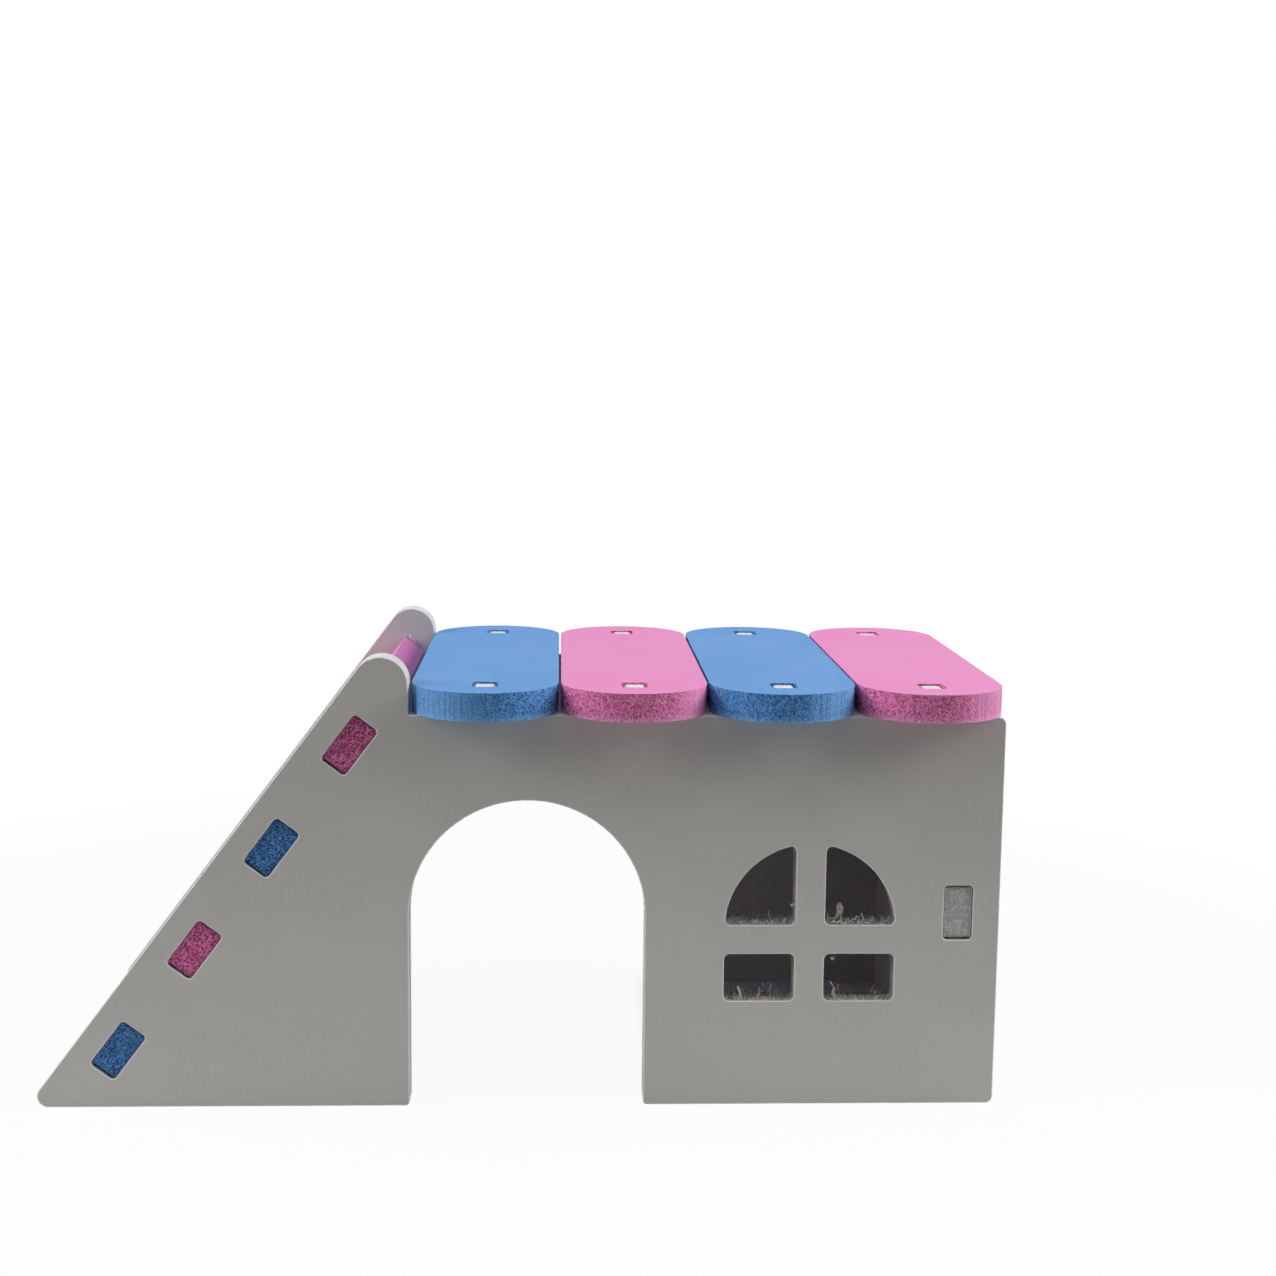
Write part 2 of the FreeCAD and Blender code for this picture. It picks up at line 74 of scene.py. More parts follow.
# the cut of each kind of board, in millimetres: radius of its arris, length of a mesh face,
# spacing and depth of the open cells, depth of the blade's streaks
CUT_SIZES = ("Edge radius", "Mesh length", "Pit spacing", "Pit depth", "Streak depth")
PANEL_CUT = (0.35, 0.62, 1.0, 0.09, 0.1)
WALL_CUT = (0.3, 0.35, 0.7, 0.08, 0.15)
STEP_CUT = (0.3, 0.22, 0.52, 0.30, 0.0)
SLAT_CUT = (0.2, 0.27, 0.64, 0.36, 0.12)

# each board's seed moves the pattern of its cut by so many of these steps
SEED_SHIFT = (0.131, 0.077, 0.193)
WALL_SEED = 3.0
STEP_SEED = 10.0
SLAT_SEED = 20.0

# open cells: how far they stray from even spacing, how far from its middle one begins to sink
# and is deepest, how many lie shallower, and the depth of the shallowest
PIT_WANDER = 1.6
PIT_SLOPE = (0.72, 0.25)
SHALLOW_PITS = 0.6
SHALLOWEST = 0.5
CENTRE_NOISE = (-0.5, -0.5, -0.5)

# streaks: drawn long through the board, how close they lie, their contrast, how strong they are
# where the cells lie open, and how far they close the cells
STREAK_DRAWN = (1.0, 1.0, 0.02)
STREAK_SCALE = 1.5 / MM
STREAK_CONTRAST = (0.38, 0.62)
STREAK_LEAST = 0.3
STREAK_CLOSES = 0.88

# sealed sides of the steps, with fewer open cells and a painted shade; calmer round ends and the
# curled lower skin of the slats
SMOOTH_SIDES = 0.9
CALM_ENDS = 0.4
SKIN_CURL = 2.0 * MM

# how upright the normal of the skin is at least, and that of its flat stretches
SKIN_NORMAL = 0.98
FLAT_NORMAL = 0.999

# roof slats, whose mortises lie over the middle of each side board's thickness
SLAT_WIDTH = SLAT_HIGH.x - SLAT_LOW.x
SLAT_LENGTH = SLAT_HIGH.y - SLAT_LOW.y
SIDE_BOARD_MIDDLE = (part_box("rear_side_panel")[0].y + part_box("rear_side_panel")[1].y) / 2
MORTISE_WIDTH = 7.2 * MM
MORTISE_DEPTH = 8.8 * MM
MORTISE_CORNER = 1.0 * MM
MORTISE_ARC_POINTS = 6
SLAT_ARC_POINTS = 64
# where across each slat the cut turns from open cells into blade marks
DRAGGED = ((6 * MM, -9 * MM), (9 * MM, 17 * MM), (2 * MM, 12 * MM), (2 * MM, 14 * MM))

# torn foam on the sills of the window
SMALLEST_PANE = 200 * MM ** 2
SILL_MARGIN = 0.5 * MM
SILL_ROOT = 0.15 * MM

# one fibre: points along it, sides, how much thinner it ends, how late it bends, and how far it
# may tilt and turn
FIBRE_POINTS = 8
FIBRE_SIDES = 4
FIBRE_TAPER = 0.7
FIBRE_LATE_BEND = 2.0
FIBRE_TILT = 1.4
FIBRE_TURN = 6.28

# a bed of fibres: size of the shortest, how much more the longest has, how rare the long ones
# are, length of the waves that they lie in, and what centres these, with a slight pull upwards
FIBRE_SHORTEST = 0.45
FIBRE_GROWTH = 0.9
FIBRE_RARITY = 3.0
FIBRE_WAVE = 0.9 * MM
FIBRE_SWAY = (-0.5, -0.5, -0.3)
FRAYS = (
    # name, strip behind the front face, fibres per square mm, length, radius, bend, wander, seed
    ("sill_fuzz", (0.5, 7.5), 1.2, 1.6, 0.12, 1.1, 1.7, 5),
    ("sill_curls", (0.5, 6.5), 0.2, 3.2, 0.13, 2.4, 3.0, 9),
    ("sill_lip", (0.1, 0.8), 2.6, 0.9, 0.14, 0.5, 0.9, 3),
)

# a strand: radius of its fibres and how that varies, how finely they are rounded and bent, and
# the draws that say how far they stray, which are the same each time
STRAND_RADIUS = 0.085 * MM
STRAND_SWELL = (0.6, 1.2)
STRAND_ROUNDNESS = 1
STRAND_STEPS = 3
STRAND_ORDER = 3
STRAY = random.Random(7)
STRANDS = (
    # name, pane, depth behind the front face, spread, fibres, path; all lengths in millimetres
    ("tall_shred", 3, 3.0, 0.55, 16,
     ((2.3, -0.3), (2.5, 0.4), (3.3, 1.1), (3.9, 2.1), (4.1, 3.1), (4.0, 4.2), (4.1, 5.0))),
    ("tall_curl", 3, 3.4, 0.55, 16,
     ((5.2, -0.2), (4.9, 0.8), (4.4, 1.8), (4.9, 2.8), (5.1, 3.7), (4.9, 4.6), (4.4, 5.2))),
    ("hooked_shred", 3, 1.2, 0.12, 10,
     ((9.3, 0.1), (10.1, 0.4), (10.8, 1.2), (10.8, 2.0), (10.4, 2.9))),
    ("low_shred", 3, 1.2, 0.4, 14, ((1.6, 0.0), (2.4, 0.7), (3.3, 0.3), (4.4, 0.8))),
    ("left_shred", 0, 1.5, 0.35, 10, ((4.4, -0.1), (4.9, 1.1), (4.5, 2.4), (4.2, 3.6))),
    ("right_shred", 1, 1.5, 0.4, 9, ((2.9, -0.1), (3.3, 0.8), (2.7, 1.8), (3.2, 2.9))),
    ("hanging_burr", 1, 0.8, 0.2, 8, ((1.9, 12.4), (2.3, 11.8), (2.8, 11.9), (2.6, 12.5))),
    ("jamb_burr", 2, 1.6, 0.2, 6, ((19.4, 5.4), (18.8, 5.7), (18.5, 5.3), (18.9, 4.9))),
)
# torn skin at the far upper end of the top step, in millimetres from its outer corner inwards
# and up along the slope
STEP_TEAR = ((-0.2, -0.4), (0.3, 1.0), (0.8, -0.4), (1.3, 1.5), (1.8, -0.4), (2.3, 0.9),
             (2.7, -0.4), (3.2, 1.2), (3.7, -0.4))
STEP_TEAR_SPREAD = 0.3
STEP_TEAR_FIBRES = 14

# skin: sizes of its clouds, grain, flecks and bumps, and shares of the board's own colour
CLOUD_SIZE = 28 * MM
CLOUD_CONTRAST = (0.3, 0.7)
CLOUD_SHADES = (0.965, 1.03)
GRAIN_SIZE = 1.1 * MM
GRAIN_CONTRAST = (0.25, 0.75)
GRAIN_SHADE = 1.02
FLECK_SPACING = 19 * MM
FLECK_BORDER = (0.035, 0.01)
FLECK_RARITY = (0.8, 0.82)
FLECK_SHADE = 0.8
SKIN_ROUGHNESS_SPREAD = 0.04
SKIN_GLOSS = 0.12
SKIN_BUMP_SIZE = 0.6 * MM
SKIN_BUMP_HEIGHT = 0.03 * MM
SKIN_BUMP_STRENGTH = 0.25

# cut edge: its patches and wrinkles, the painted highlight on the ridges round the open cells, and
# the painted shade in their hollows and in the low folds of the wrinkles
PATCH_SIZE = 5 * MM
PATCH_CONTRAST = (0.35, 0.7)
PATCH_SHADES = (0.93, 1.07)
WRINKLE_SIZE = 0.35 * MM
WRINKLE_CONTRAST = (0.36, 0.62)
WRINKLE_TWIST = 0.6
WRINKLE_SHADE = 0.3
RIDGE_END = 0.35
RIDGE_HIGHLIGHT = 0.75
HOLLOW_SHADE_BORDER = (0.2, 0.8)
HOLLOW_SHADE_STRENGTH = 0.8
CUT_BUMP_HEIGHT = 0.12 * MM
CUT_BUMP_STRENGTH = 0.7
CUT_FINISH = {
    "Roughness": 0.8,
    "Specular IOR Level": 0.2,
    "Sheen Weight": 0.06,
    "Sheen Roughness": 0.4,
}

# torn foam: its patches, their shades and its roughness
SHRED_SIZE = 0.4 * MM
SHRED_CONTRAST = (0.3, 0.7)
SHRED_SHADES = (0.8, 1.2)
SHRED_ROUGHNESS = 0.9

# light and floor: how much the white round the house lights it, and the lamps
AMBIENT = 0.05
LAMPS = (
    # name, place, point that it faces, width and height in metres, power in watts
    ("overhead", (0.0, -0.05, 1.00), (0.0, 0.0, 0.06), 1.2, 0.8, 3.2),
    ("left", (-0.85, -0.12, 0.56), (0.0, 0.0, 0.08), 0.6, 0.5, 7.0),
    ("right", (0.85, -0.12, 0.56), (0.0, 0.0, 0.08), 0.6, 0.5, 7.0),
)
WHITE = (1.0, 1.0, 1.0, 1.0)

# the floor: its size, how far it lies below the house, its colours, and how white it looks nearby
FLOOR_REACH = 6.0
FLOOR_DROP = 0.05 * MM
FLOOR_NEAR = (0.7, 0.7, 0.7, 1.0)
FLOOR_FAR = (0.12, 0.12, 0.12, 1.0)
FLOOR_LIFT = 0.94
# distances from the middle of the house between which the floor darkens and turns into white
FLOOR_DARKENS = (190 * MM, 360 * MM)
FLOOR_WHITENS = (180 * MM, 420 * MM)
# where the shaded floor of the room begins and ends: under the ladder, before the end wall, and
# towards each side board
ROOM_LADDER = (35 * MM, 60 * MM)
ROOM_END = (125 * MM, 119 * MM)
ROOM_SIDE = (58 * MM, 52 * MM)

# camera, with its focal length in pixels of a render of this width
RENDER_WIDTH = 1276.0
FOCAL_PIXELS = 1861.585
SENSOR = 36.0
CLIP_START = 10 * MM
CAMERA_PLACE = Vector((10.38, -563.82, 202.80)) * MM
CAMERA_YAW = math.radians(2.451)
CAMERA_PITCH = math.radians(7.7955)
CAMERA_ROLL = math.radians(0.654)


# ---------------------------------------------------------------- node trees

class Graph:
    """Adds nodes to a tree; an input given as a node or socket is linked, any other is set."""

    def __init__(self, tree):
        self.tree = tree

    def add(self, kind, inputs=(), **settings):
        """A new node; its inputs go by identifier, name or number."""
        node = self.tree.nodes.new(kind)
        for name, value in settings.items():
            setattr(node, name, value)
        for place, value in dict(inputs).items():
            same = [socket for socket in node.inputs if socket.identifier == place]
            self.give(same[0] if same else node.inputs[place], value)
        return node

    def give(self, socket, value):
        """Link a socket to a node or another socket, or set it."""
        if isinstance(value, bpy.types.Node):
            value = value.outputs[0]
        if isinstance(value, bpy.types.NodeSocket):
            self.tree.links.new(value, socket)
        else:
            socket.default_value = value

    def math(self, operation, *values):
        """A sum, product or the like of some numbers."""
        return self.add("ShaderNodeMath", enumerate(values), operation=operation)

    def ramp(self, value, start, end, low=0.0, high=1.0):
        """A smooth step from low to high as value goes from start to end."""
        inputs = {"Value": value, "From Min": start, "From Max": end, "To Min": low, "To Max": high}
        return self.add("ShaderNodeMapRange", inputs, interpolation_type="SMOOTHSTEP")

    def times(self, first, second):
        """A number times another."""
        return self.math("MULTIPLY", first, second)

    def rest(self, share):
        """What a share leaves over of the whole."""
        return self.math("SUBTRACT", 1.0, share)

    def part(self, vector, axis):
        """One part of a vector: X, Y or Z."""
        return self.add("ShaderNodeSeparateXYZ", {0: vector}).outputs[axis]

    def point(self, x=0.0, y=0.0, z=0.0):
        """A vector from its three parts."""
        return self.add("ShaderNodeCombineXYZ", {"X": x, "Y": y, "Z": z})

    def scaled(self, vector, factors):
        """A vector with each of its parts multiplied."""
        return self.add("ShaderNodeVectorMath", {0: vector, 1: factors}, operation="MULTIPLY")

    def longer(self, vector, factor):
        """A vector times one number."""
        inputs = {0: vector, "Scale": factor}
        return self.add("ShaderNodeVectorMath", inputs, operation="SCALE")

    def sum(self, first, second):
        """Two vectors added."""
        return self.add("ShaderNodeVectorMath", {0: first, 1: second}, operation="ADD")

    def blend(self, factor, first, second):
        """A colour between two colours."""
        inputs = {"Factor_Float": factor, "A_Color": first, "B_Color": second}
        node = self.add("ShaderNodeMix", inputs, data_type="RGBA")
        return next(out for out in node.outputs if out.identifier == "Result_Color")

    def keep(self, geometry, name, value, domain="POINT", kind="FLOAT"):
        """Geometry that carries a value under a name."""
        inputs = {"Geometry": geometry, "Name": name, "Value": value}
        return self.add("GeometryNodeStoreNamedAttribute", inputs, data_type=kind, domain=domain)

    def kept(self, name):
        """The value that a piece carries under a name, in its material."""
        return self.add("ShaderNodeAttribute", attribute_name=name).outputs["Fac"]

    def bump(self, height, strength, distance):
        """A normal that leans with the slope of a height."""
        inputs = {"Height": height, "Strength": strength, "Distance": distance}
        return self.add("ShaderNodeBump", inputs)


def new_tree(name, inputs):
    """An empty geometry tree: its graph, its named inputs and the socket for its result."""
    tree = bpy.data.node_groups.new(name, "GeometryNodeTree")
    tree.interface.new_socket("Geometry", in_out="OUTPUT", socket_type="NodeSocketGeometry")
    for label, kind in inputs:
        tree.interface.new_socket(label, in_out="INPUT", socket_type=f"NodeSocket{kind}")
    given = tree.nodes.new("NodeGroupInput").outputs
    result = tree.nodes.new("NodeGroupOutput").inputs[0]
    return Graph(tree), given, result


def linked(name, data):
    """A new object of the scene with some data."""
    thing = bpy.data.objects.new(name, data)
    bpy.context.scene.collection.objects.link(thing)
    return thing


def plain_piece(name, host):
    """What a host looks like once it is worked out, as a plain mesh; the host goes."""
    shapes = bpy.context.evaluated_depsgraph_get()
    mesh = bpy.data.meshes.new_from_object(host.evaluated_get(shapes))
    bpy.data.objects.remove(host)
    if mesh.materials[0] is None:
        mesh.materials.pop(index=0)
    return linked(name, mesh)


def grow(name, tree, values, source=None):
    """Run a tree on some data with the given inputs and keep its result as a plain mesh."""
    host = linked(f"{name}_host", source or bpy.data.meshes.new(name))
    modifier = host.modifiers.new(tree.name, "NODES")
    modifier.node_group = tree
    for item in tree.interface.items_tree:
        if item.in_out == "INPUT" and item.name in values:
            modifier[item.identifier] = values[item.name]
    return plain_piece(name, host)


# ---------------------------------------------------------------- boards

BOARD_INPUTS = (
    ("Thickness", "Float"),
    ("Edge radius", "Float"),
    ("Mesh length", "Float"),
    ("Pit spacing", "Float"),
    ("Pit depth", "Float"),
    ("Streak depth", "Float"),
    ("Streak start", "Float"),
    ("Streak end", "Float"),
    ("Smooth sides", "Float"),
    ("Calm ends", "Float"),
    ("Skin curl", "Float"),
    ("Seed", "Float"),
)
PLACE_INPUTS = (
    ("Place", "Vector"),
    ("Turn", "Vector"),
    ("Face material", "Material"),
    ("Edge material", "Material"),
)


def edge_profile(graph, given):
    """Half of a board's section seen along its edge: straight, with both corners rounded."""
    half = graph.times(given["Thickness"], 0.5)
    low = graph.times(half, -1.0)
    inset = graph.times(given["Edge radius"], -1.0)
    corners = (graph.point(inset, low), graph.point(0.0, low),
               graph.point(0.0, half), graph.point(inset, half))
    points = {f"Point {number}": corner for number, corner in enumerate(corners, start=1)}
    box = graph.add("GeometryNodeCurvePrimitiveQuadrilateral", points, mode="POINTS")
    opened = graph.add("GeometryNodeSetSplineCyclic", {"Geometry": box, "Cyclic": False})
    bend = {"Curve": opened, "Count": ARRIS_POINTS, "Radius": given["Edge radius"]}
    rounded = graph.add("GeometryNodeFilletCurve", bend, mode="POLY")
    return divided(graph, rounded, given["Mesh length"])


def divided(graph, curve, spacing):
    """A curve that keeps its corners, with its long stretches cut into even steps."""
    place = graph.add("GeometryNodeInputPosition")
    following = graph.add("GeometryNodeOffsetPointInCurve", {"Offset": 1}).outputs["Point Index"]
    further = graph.add("GeometryNodeFieldAtIndex", {"Index": following, "Value": place},
                        data_type="FLOAT_VECTOR", domain="POINT")
    stretch = graph.add("ShaderNodeVectorMath", {0: place, 1: further}, operation="DISTANCE")
    steps = graph.math("CEIL", graph.math("DIVIDE", stretch.outputs["Value"], spacing))
    cuts = graph.math("MAXIMUM", graph.math("SUBTRACT", steps, 1.0), 0.0)
    return graph.add("GeometryNodeSubdivideCurve", {"Curve": curve, "Cuts": cuts})


def own_place(graph, given):
    """Where a point lies, moved by the seed, so that each board's pattern is its own."""
    own = graph.longer(SEED_SHIFT, given["Seed"])
    return graph.sum(graph.add("GeometryNodeInputPosition"), own)


def pits(graph, given):
    """How deep a point lies in an open cell of the foam, from 0 to 1."""
    place = own_place(graph, given)
    often = graph.math("DIVIDE", 1.0, given["Pit spacing"])
    wander = graph.add("ShaderNodeTexNoise", {"Vector": place, "Scale": often, "Detail": 1.0})
    centred = graph.sum(wander.outputs["Color"], CENTRE_NOISE)
    shift = graph.longer(centred, graph.times(given["Pit spacing"], PIT_WANDER))
    cells = graph.add("ShaderNodeTexVoronoi", {"Vector": graph.sum(place, shift), "Scale": often})
    hollow = graph.ramp(cells.outputs["Distance"], *PIT_SLOPE)
    chance = graph.part(cells.outputs["Color"], "X")
    return graph.times(hollow, graph.ramp(chance, 0.0, SHALLOW_PITS, SHALLOWEST, 1.0))


def streaks(graph, given):
    """Marks that a blade leaves straight through the thickness of a board, from 0 to 1."""
    place = graph.scaled(own_place(graph, given), STREAK_DRAWN)
    marks = graph.add("ShaderNodeTexNoise", {"Vector": place, "Scale": STREAK_SCALE, "Detail": 2.0})
    return graph.ramp(marks.outputs["Fac"], *STREAK_CONTRAST)


def endwise(graph):
    """1 where the cut faces along a step or slat, as at its ends, and 0 at its long sides."""
    return graph.math("ABSOLUTE", graph.part(graph.add("GeometryNodeInputNormal"), "Y"))


def sealed_share(graph, given):
    """How far the cut is sealed smooth, with fewer open cells and a painted shade: all along a
    board's sides, not at its ends.
    """
    return graph.times(graph.rest(endwise(graph)), given["Smooth sides"])


def open_share(graph, given, streaked, sealed):
    """How open the cells lie: less where the blade dragged, and at the front of a round end."""
    dragged = graph.math("MULTIPLY_ADD", streaked, -STREAK_CLOSES, 1.0)
    calm = graph.times(endwise(graph), given["Calm ends"])
    rough = graph.times(dragged, graph.rest(calm))
    return graph.times(rough, graph.rest(sealed))


def flat_faces(graph, rim, height, half):
    """The two faces of a board: its rim's upper border filled in, moved down and moved up."""
    sides = graph.add("GeometryNodeInputMeshEdgeNeighbors")
    single = graph.add("FunctionNodeCompare", {"A_INT": sides, "B_INT": 1},
                       data_type="INT", operation="EQUAL")
    upper = graph.add("FunctionNodeCompare", {"A": height, "B": 0.0}, operation="GREATER_THAN")
    border = graph.add("FunctionNodeBooleanMath", {0: single, 1: upper}, operation="AND")
    loops = graph.add("GeometryNodeMeshToCurve", {"Mesh": rim, "Selection": border})
    face = graph.add("GeometryNodeFillCurve", {"Curve": loops}, mode="TRIANGLES")
    up = graph.point(z=half)
    down = graph.longer(up, -1.0)
    top = graph.add("GeometryNodeSetPosition", {"Geometry": face, "Offset": up})
    under = graph.add("GeometryNodeSetPosition", {"Geometry": face, "Offset": down})
    return graph.add("GeometryNodeFlipFaces", {"Mesh": under}), top


def pitted_rim(graph, given, rim, height, half):
    """A rim with its open cells and streaks sunk in, which carries what its material needs."""
    from_face = graph.math("SUBTRACT", half, graph.math("ABSOLUTE", height))
    inside = graph.ramp(from_face, 0.0, given["Edge radius"])
    across = graph.part(graph.add("GeometryNodeInputPosition"), "X")
    streaked = graph.ramp(across, given["Streak start"], given["Streak end"])
    sealed = sealed_share(graph, given)
    opened = graph.times(open_share(graph, given, streaked, sealed), inside)
    pit = graph.times(pits(graph, given), opened)
    dragged = graph.math("MULTIPLY_ADD", streaked, 1.0 - STREAK_LEAST, STREAK_LEAST)
    streak = graph.times(graph.times(streaks(graph, given), dragged), inside)
    curled = graph.ramp(graph.math("ADD", height, half), given["Skin curl"], 0.0)
    arris = graph.math("MAXIMUM", graph.rest(inside), curled)
    for name, value in (("pit", pit), ("sealed", sealed), ("streak", streak)):
        rim = graph.keep(rim, name, value)
    rim = graph.keep(rim, "arris", arris, domain="FACE")
    depth = graph.math("ADD", graph.times(pit, given["Pit depth"]),
                       graph.times(streak, given["Streak depth"]))
    inward = graph.longer(graph.add("GeometryNodeInputNormal"), graph.times(depth, -1.0))
    return graph.add("GeometryNodeSetPosition", {"Geometry": rim, "Offset": inward})


def cut_board_group():
    """A board from its outline: a rounded and pitted edge swept round it, both faces closed."""
    inputs = (("Outline", "Geometry"),) + BOARD_INPUTS
    graph, given, result = new_tree("cut_board", inputs)
    half = graph.times(given["Thickness"], 0.5)
    outline = divided(graph, given["Outline"], given["Mesh length"])
    upright = graph.add("GeometryNodeSetCurveNormal", {"Curve": outline}, mode="Z_UP")
    sweep = {"Curve": upright, "Profile Curve": edge_profile(graph, given)}
    rim = graph.add("GeometryNodeCurveToMesh", sweep)
    height = graph.part(graph.add("GeometryNodeInputPosition"), "Z")
    bottom, top = flat_faces(graph, rim, height, half)

    joined = graph.add("GeometryNodeJoinGeometry")
    for piece in (bottom, top, pitted_rim(graph, given, rim, height, half)):
        graph.give(joined.inputs[0], piece)
    closed = graph.add("GeometryNodeMergeByDistance", {"Geometry": joined, "Distance": WELD})
    level = graph.math("ABSOLUTE", graph.part(graph.add("GeometryNodeInputNormal"), "Z"))
    skin = graph.add("FunctionNodeCompare", {"A": level, "B": SKIN_NORMAL},
                     operation="GREATER_THAN")
    skinned = graph.keep(closed, "skin", skin, domain="FACE", kind="BOOLEAN")
    bent = graph.add("FunctionNodeCompare", {"A": level, "B": FLAT_NORMAL},
                     operation="LESS_THAN")
    shaded = graph.add("GeometryNodeSetShadeSmooth", {"Geometry": skinned, "Shade Smooth": bent})
    graph.give(result, shaded)
    return graph.tree


def placed_board(graph, given, outline, cut_board):
    """A board cut to an outline, turned, moved to its place and given its two materials."""
    board = graph.add("GeometryNodeGroup", node_tree=cut_board)
    graph.give(board.inputs["Outline"], outline)
    for label, _ in BOARD_INPUTS:
        graph.give(board.inputs[label], given[label])
    move = {"Geometry": board, "Translation": given["Place"], "Rotation": given["Turn"]}
    placed = graph.add("GeometryNodeTransform", move)
    real = graph.add("GeometryNodeRealizeInstances", {"Geometry": placed})
    edge = {"Geometry": real, "Material": given["Edge material"]}
    edged = graph.add("GeometryNodeSetMaterial", edge)
    skin = graph.add("GeometryNodeInputNamedAttribute", {"Name": "skin"}, data_type="BOOLEAN")
    faces = {"Geometry": edged, "Selection": skin.outputs["Attribute"],
             "Material": given["Face material"]}
    return graph.add("GeometryNodeSetMaterial", faces)


def house_board_tree(cut_board):
    """A board whose outline is the curve that it runs on, with the holes after the outline."""
    inputs = (("Geometry", "Geometry"), ("Corner radius", "Float")) + BOARD_INPUTS + PLACE_INPUTS
    graph, given, result = new_tree("house_board", inputs)
    number = graph.add("GeometryNodeInputIndex")
    later = graph.add("FunctionNodeCompare", {"A_INT": number, "B_INT": 0},
                      data_type="INT", operation="GREATER_THAN")
    # the holes are marked, so that their walls take a painted shade
    bored = graph.keep(given["Geometry"], "bore", later, domain="CURVE")
    bend = {"Curve": bored, "Radius": given["Corner radius"], "Limit Radius": True,
            "Count": CORNER_POINTS}
    outline = graph.add("GeometryNodeFilletCurve", bend, mode="POLY")
    graph.give(result, placed_board(graph, given, outline, cut_board))
    return graph.tree


def rounded_rectangle(graph, width, height, radius, points):
    """A closed outline with its corners rounded."""
    box = graph.add("GeometryNodeCurvePrimitiveQuadrilateral", {"Width": width, "Height": height})
    bend = {"Curve": box, "Radius": radius, "Count": points, "Limit Radius": True}
    return graph.add("GeometryNodeFilletCurve", bend, mode="POLY")


def roof_slat_tree(cut_board):
    """A round-ended slat with a mortise near each end."""
    sizes = (("Width", "Float"), ("Length", "Float"), ("Mortise width", "Float"),
             ("Mortise depth", "Float"), ("Mortise corner", "Float"), ("Mortise reach", "Float"))
    graph, given, result = new_tree("roof_slat", sizes + BOARD_INPUTS + PLACE_INPUTS)
    radius = graph.times(given["Width"], 0.5)
    outer = rounded_rectangle(graph, given["Width"], given["Length"], radius, SLAT_ARC_POINTS)
    mortise = rounded_rectangle(graph, given["Mortise width"], given["Mortise depth"],
                                given["Mortise corner"], MORTISE_ARC_POINTS)
    hole = graph.add("GeometryNodeReverseCurve", {"Curve": mortise})
    outline = graph.add("GeometryNodeJoinGeometry")
    graph.give(outline.inputs[0], outer)
    for side in (-1.0, 1.0):
        reach = graph.times(given["Mortise reach"], side)
        move = {"Geometry": hole, "Translation": graph.point(y=reach)}
        graph.give(outline.inputs[0], graph.add("GeometryNodeTransform", move))
    graph.give(result, placed_board(graph, given, outline, cut_board))
    return graph.tree


def wound_area(loop):
    """Area inside a flat loop of points, below zero where it runs clockwise."""
    pairs = zip(loop, loop[1:] + loop[:1])
    return sum(one.x * two.y - two.x * one.y for one, two in pairs) / 2


def walk(start):
    """The points of a closed run of edges, from one of its corners."""
    loop, corner, last = [], start, None
    while corner not in loop:
        loop.append(corner)
        edge = next(edge for edge in corner.link_edges if edge is not last)
        corner, last = edge.other_vert(corner), edge
    return loop


def board_outline(node, turn, place):
    """The loops in which a node's middle plane cuts it, flat: its outline, then its holes."""
    mesh = bmesh.new()
    mesh.from_mesh(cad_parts[node].data)
    bmesh.ops.remove_doubles(mesh, verts=mesh.verts, dist=WELD)
    mesh.transform((Matrix.Translation(place) @ turn.to_matrix().to_4x4()).inverted())
    everything = mesh.verts[:] + mesh.edges[:] + mesh.faces[:]
    bmesh.ops.bisect_plane(mesh, geom=everything, plane_co=(0, 0, 0), plane_no=(0, 0, 1),
                           clear_inner=True, clear_outer=True)
    bmesh.ops.dissolve_limit(mesh, angle_limit=STRAIGHT, verts=mesh.verts, edges=mesh.edges)
    left, loops = set(mesh.verts), []
    while left:
        run = walk(min(left, key=lambda corner: corner.index))
        left -= set(run)
        loops.append([corner.co.copy() for corner in run])
    mesh.free()
    loops.sort(key=lambda loop: -abs(wound_area(loop)))
    for number, loop in enumerate(loops):
        if (wound_area(loop) > 0) != (number == 0):
            loop.reverse()
    return loops


def outline_curve(name, loops):
    """Closed straight-sided curves through the points of each loop."""
    curve = bpy.data.curves.new(name, "CURVE")
    for loop in loops:
        spline = curve.splines.new("POLY")
        spline.points.add(len(loop) - 1)
        for point, corner in zip(spline.points, loop):
            point.co = (corner.x, corner.y, 0.0, 1.0)
        spline.use_cyclic_u = True
    return curve


def middle(node):
    """The middle of a node's box."""
    low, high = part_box(node)
    return (low + high) / 2


def dressed(piece, node, body):
    """Let a finished piece stand for a node and ride on its body."""
    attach(piece, body)
    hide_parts(node)


# ---------------------------------------------------------------- materials

def new_material(name):
    """A material's graph, its surface shader and the object's own coordinates."""
    material = bpy.data.materials.new(name)
    material.use_nodes = True
    graph = Graph(material.node_tree)
    shader = material.node_tree.nodes["Principled BSDF"]
    place = graph.add("ShaderNodeTexCoord").outputs["Object"]
    return material, graph, shader, place


def shade(colour, factor=1.0):
    """A colour made lighter or darker, as the four numbers that a socket takes."""
    return tuple(part * factor for part in colour) + (1.0,)


def noise(graph, place, size, detail=2.0, **more):
    """Soft random patches of about the given size."""
    inputs = {"Vector": place, "Scale": 1.0 / size, "Detail": detail, **more}
    return graph.add("ShaderNodeTexNoise", inputs).outputs["Fac"]


def mottled(graph, value, colour, factors):
    """A colour that goes from one of its shades to another."""
    darker, lighter = factors
    return graph.blend(value, shade(colour, darker), shade(colour, lighter))


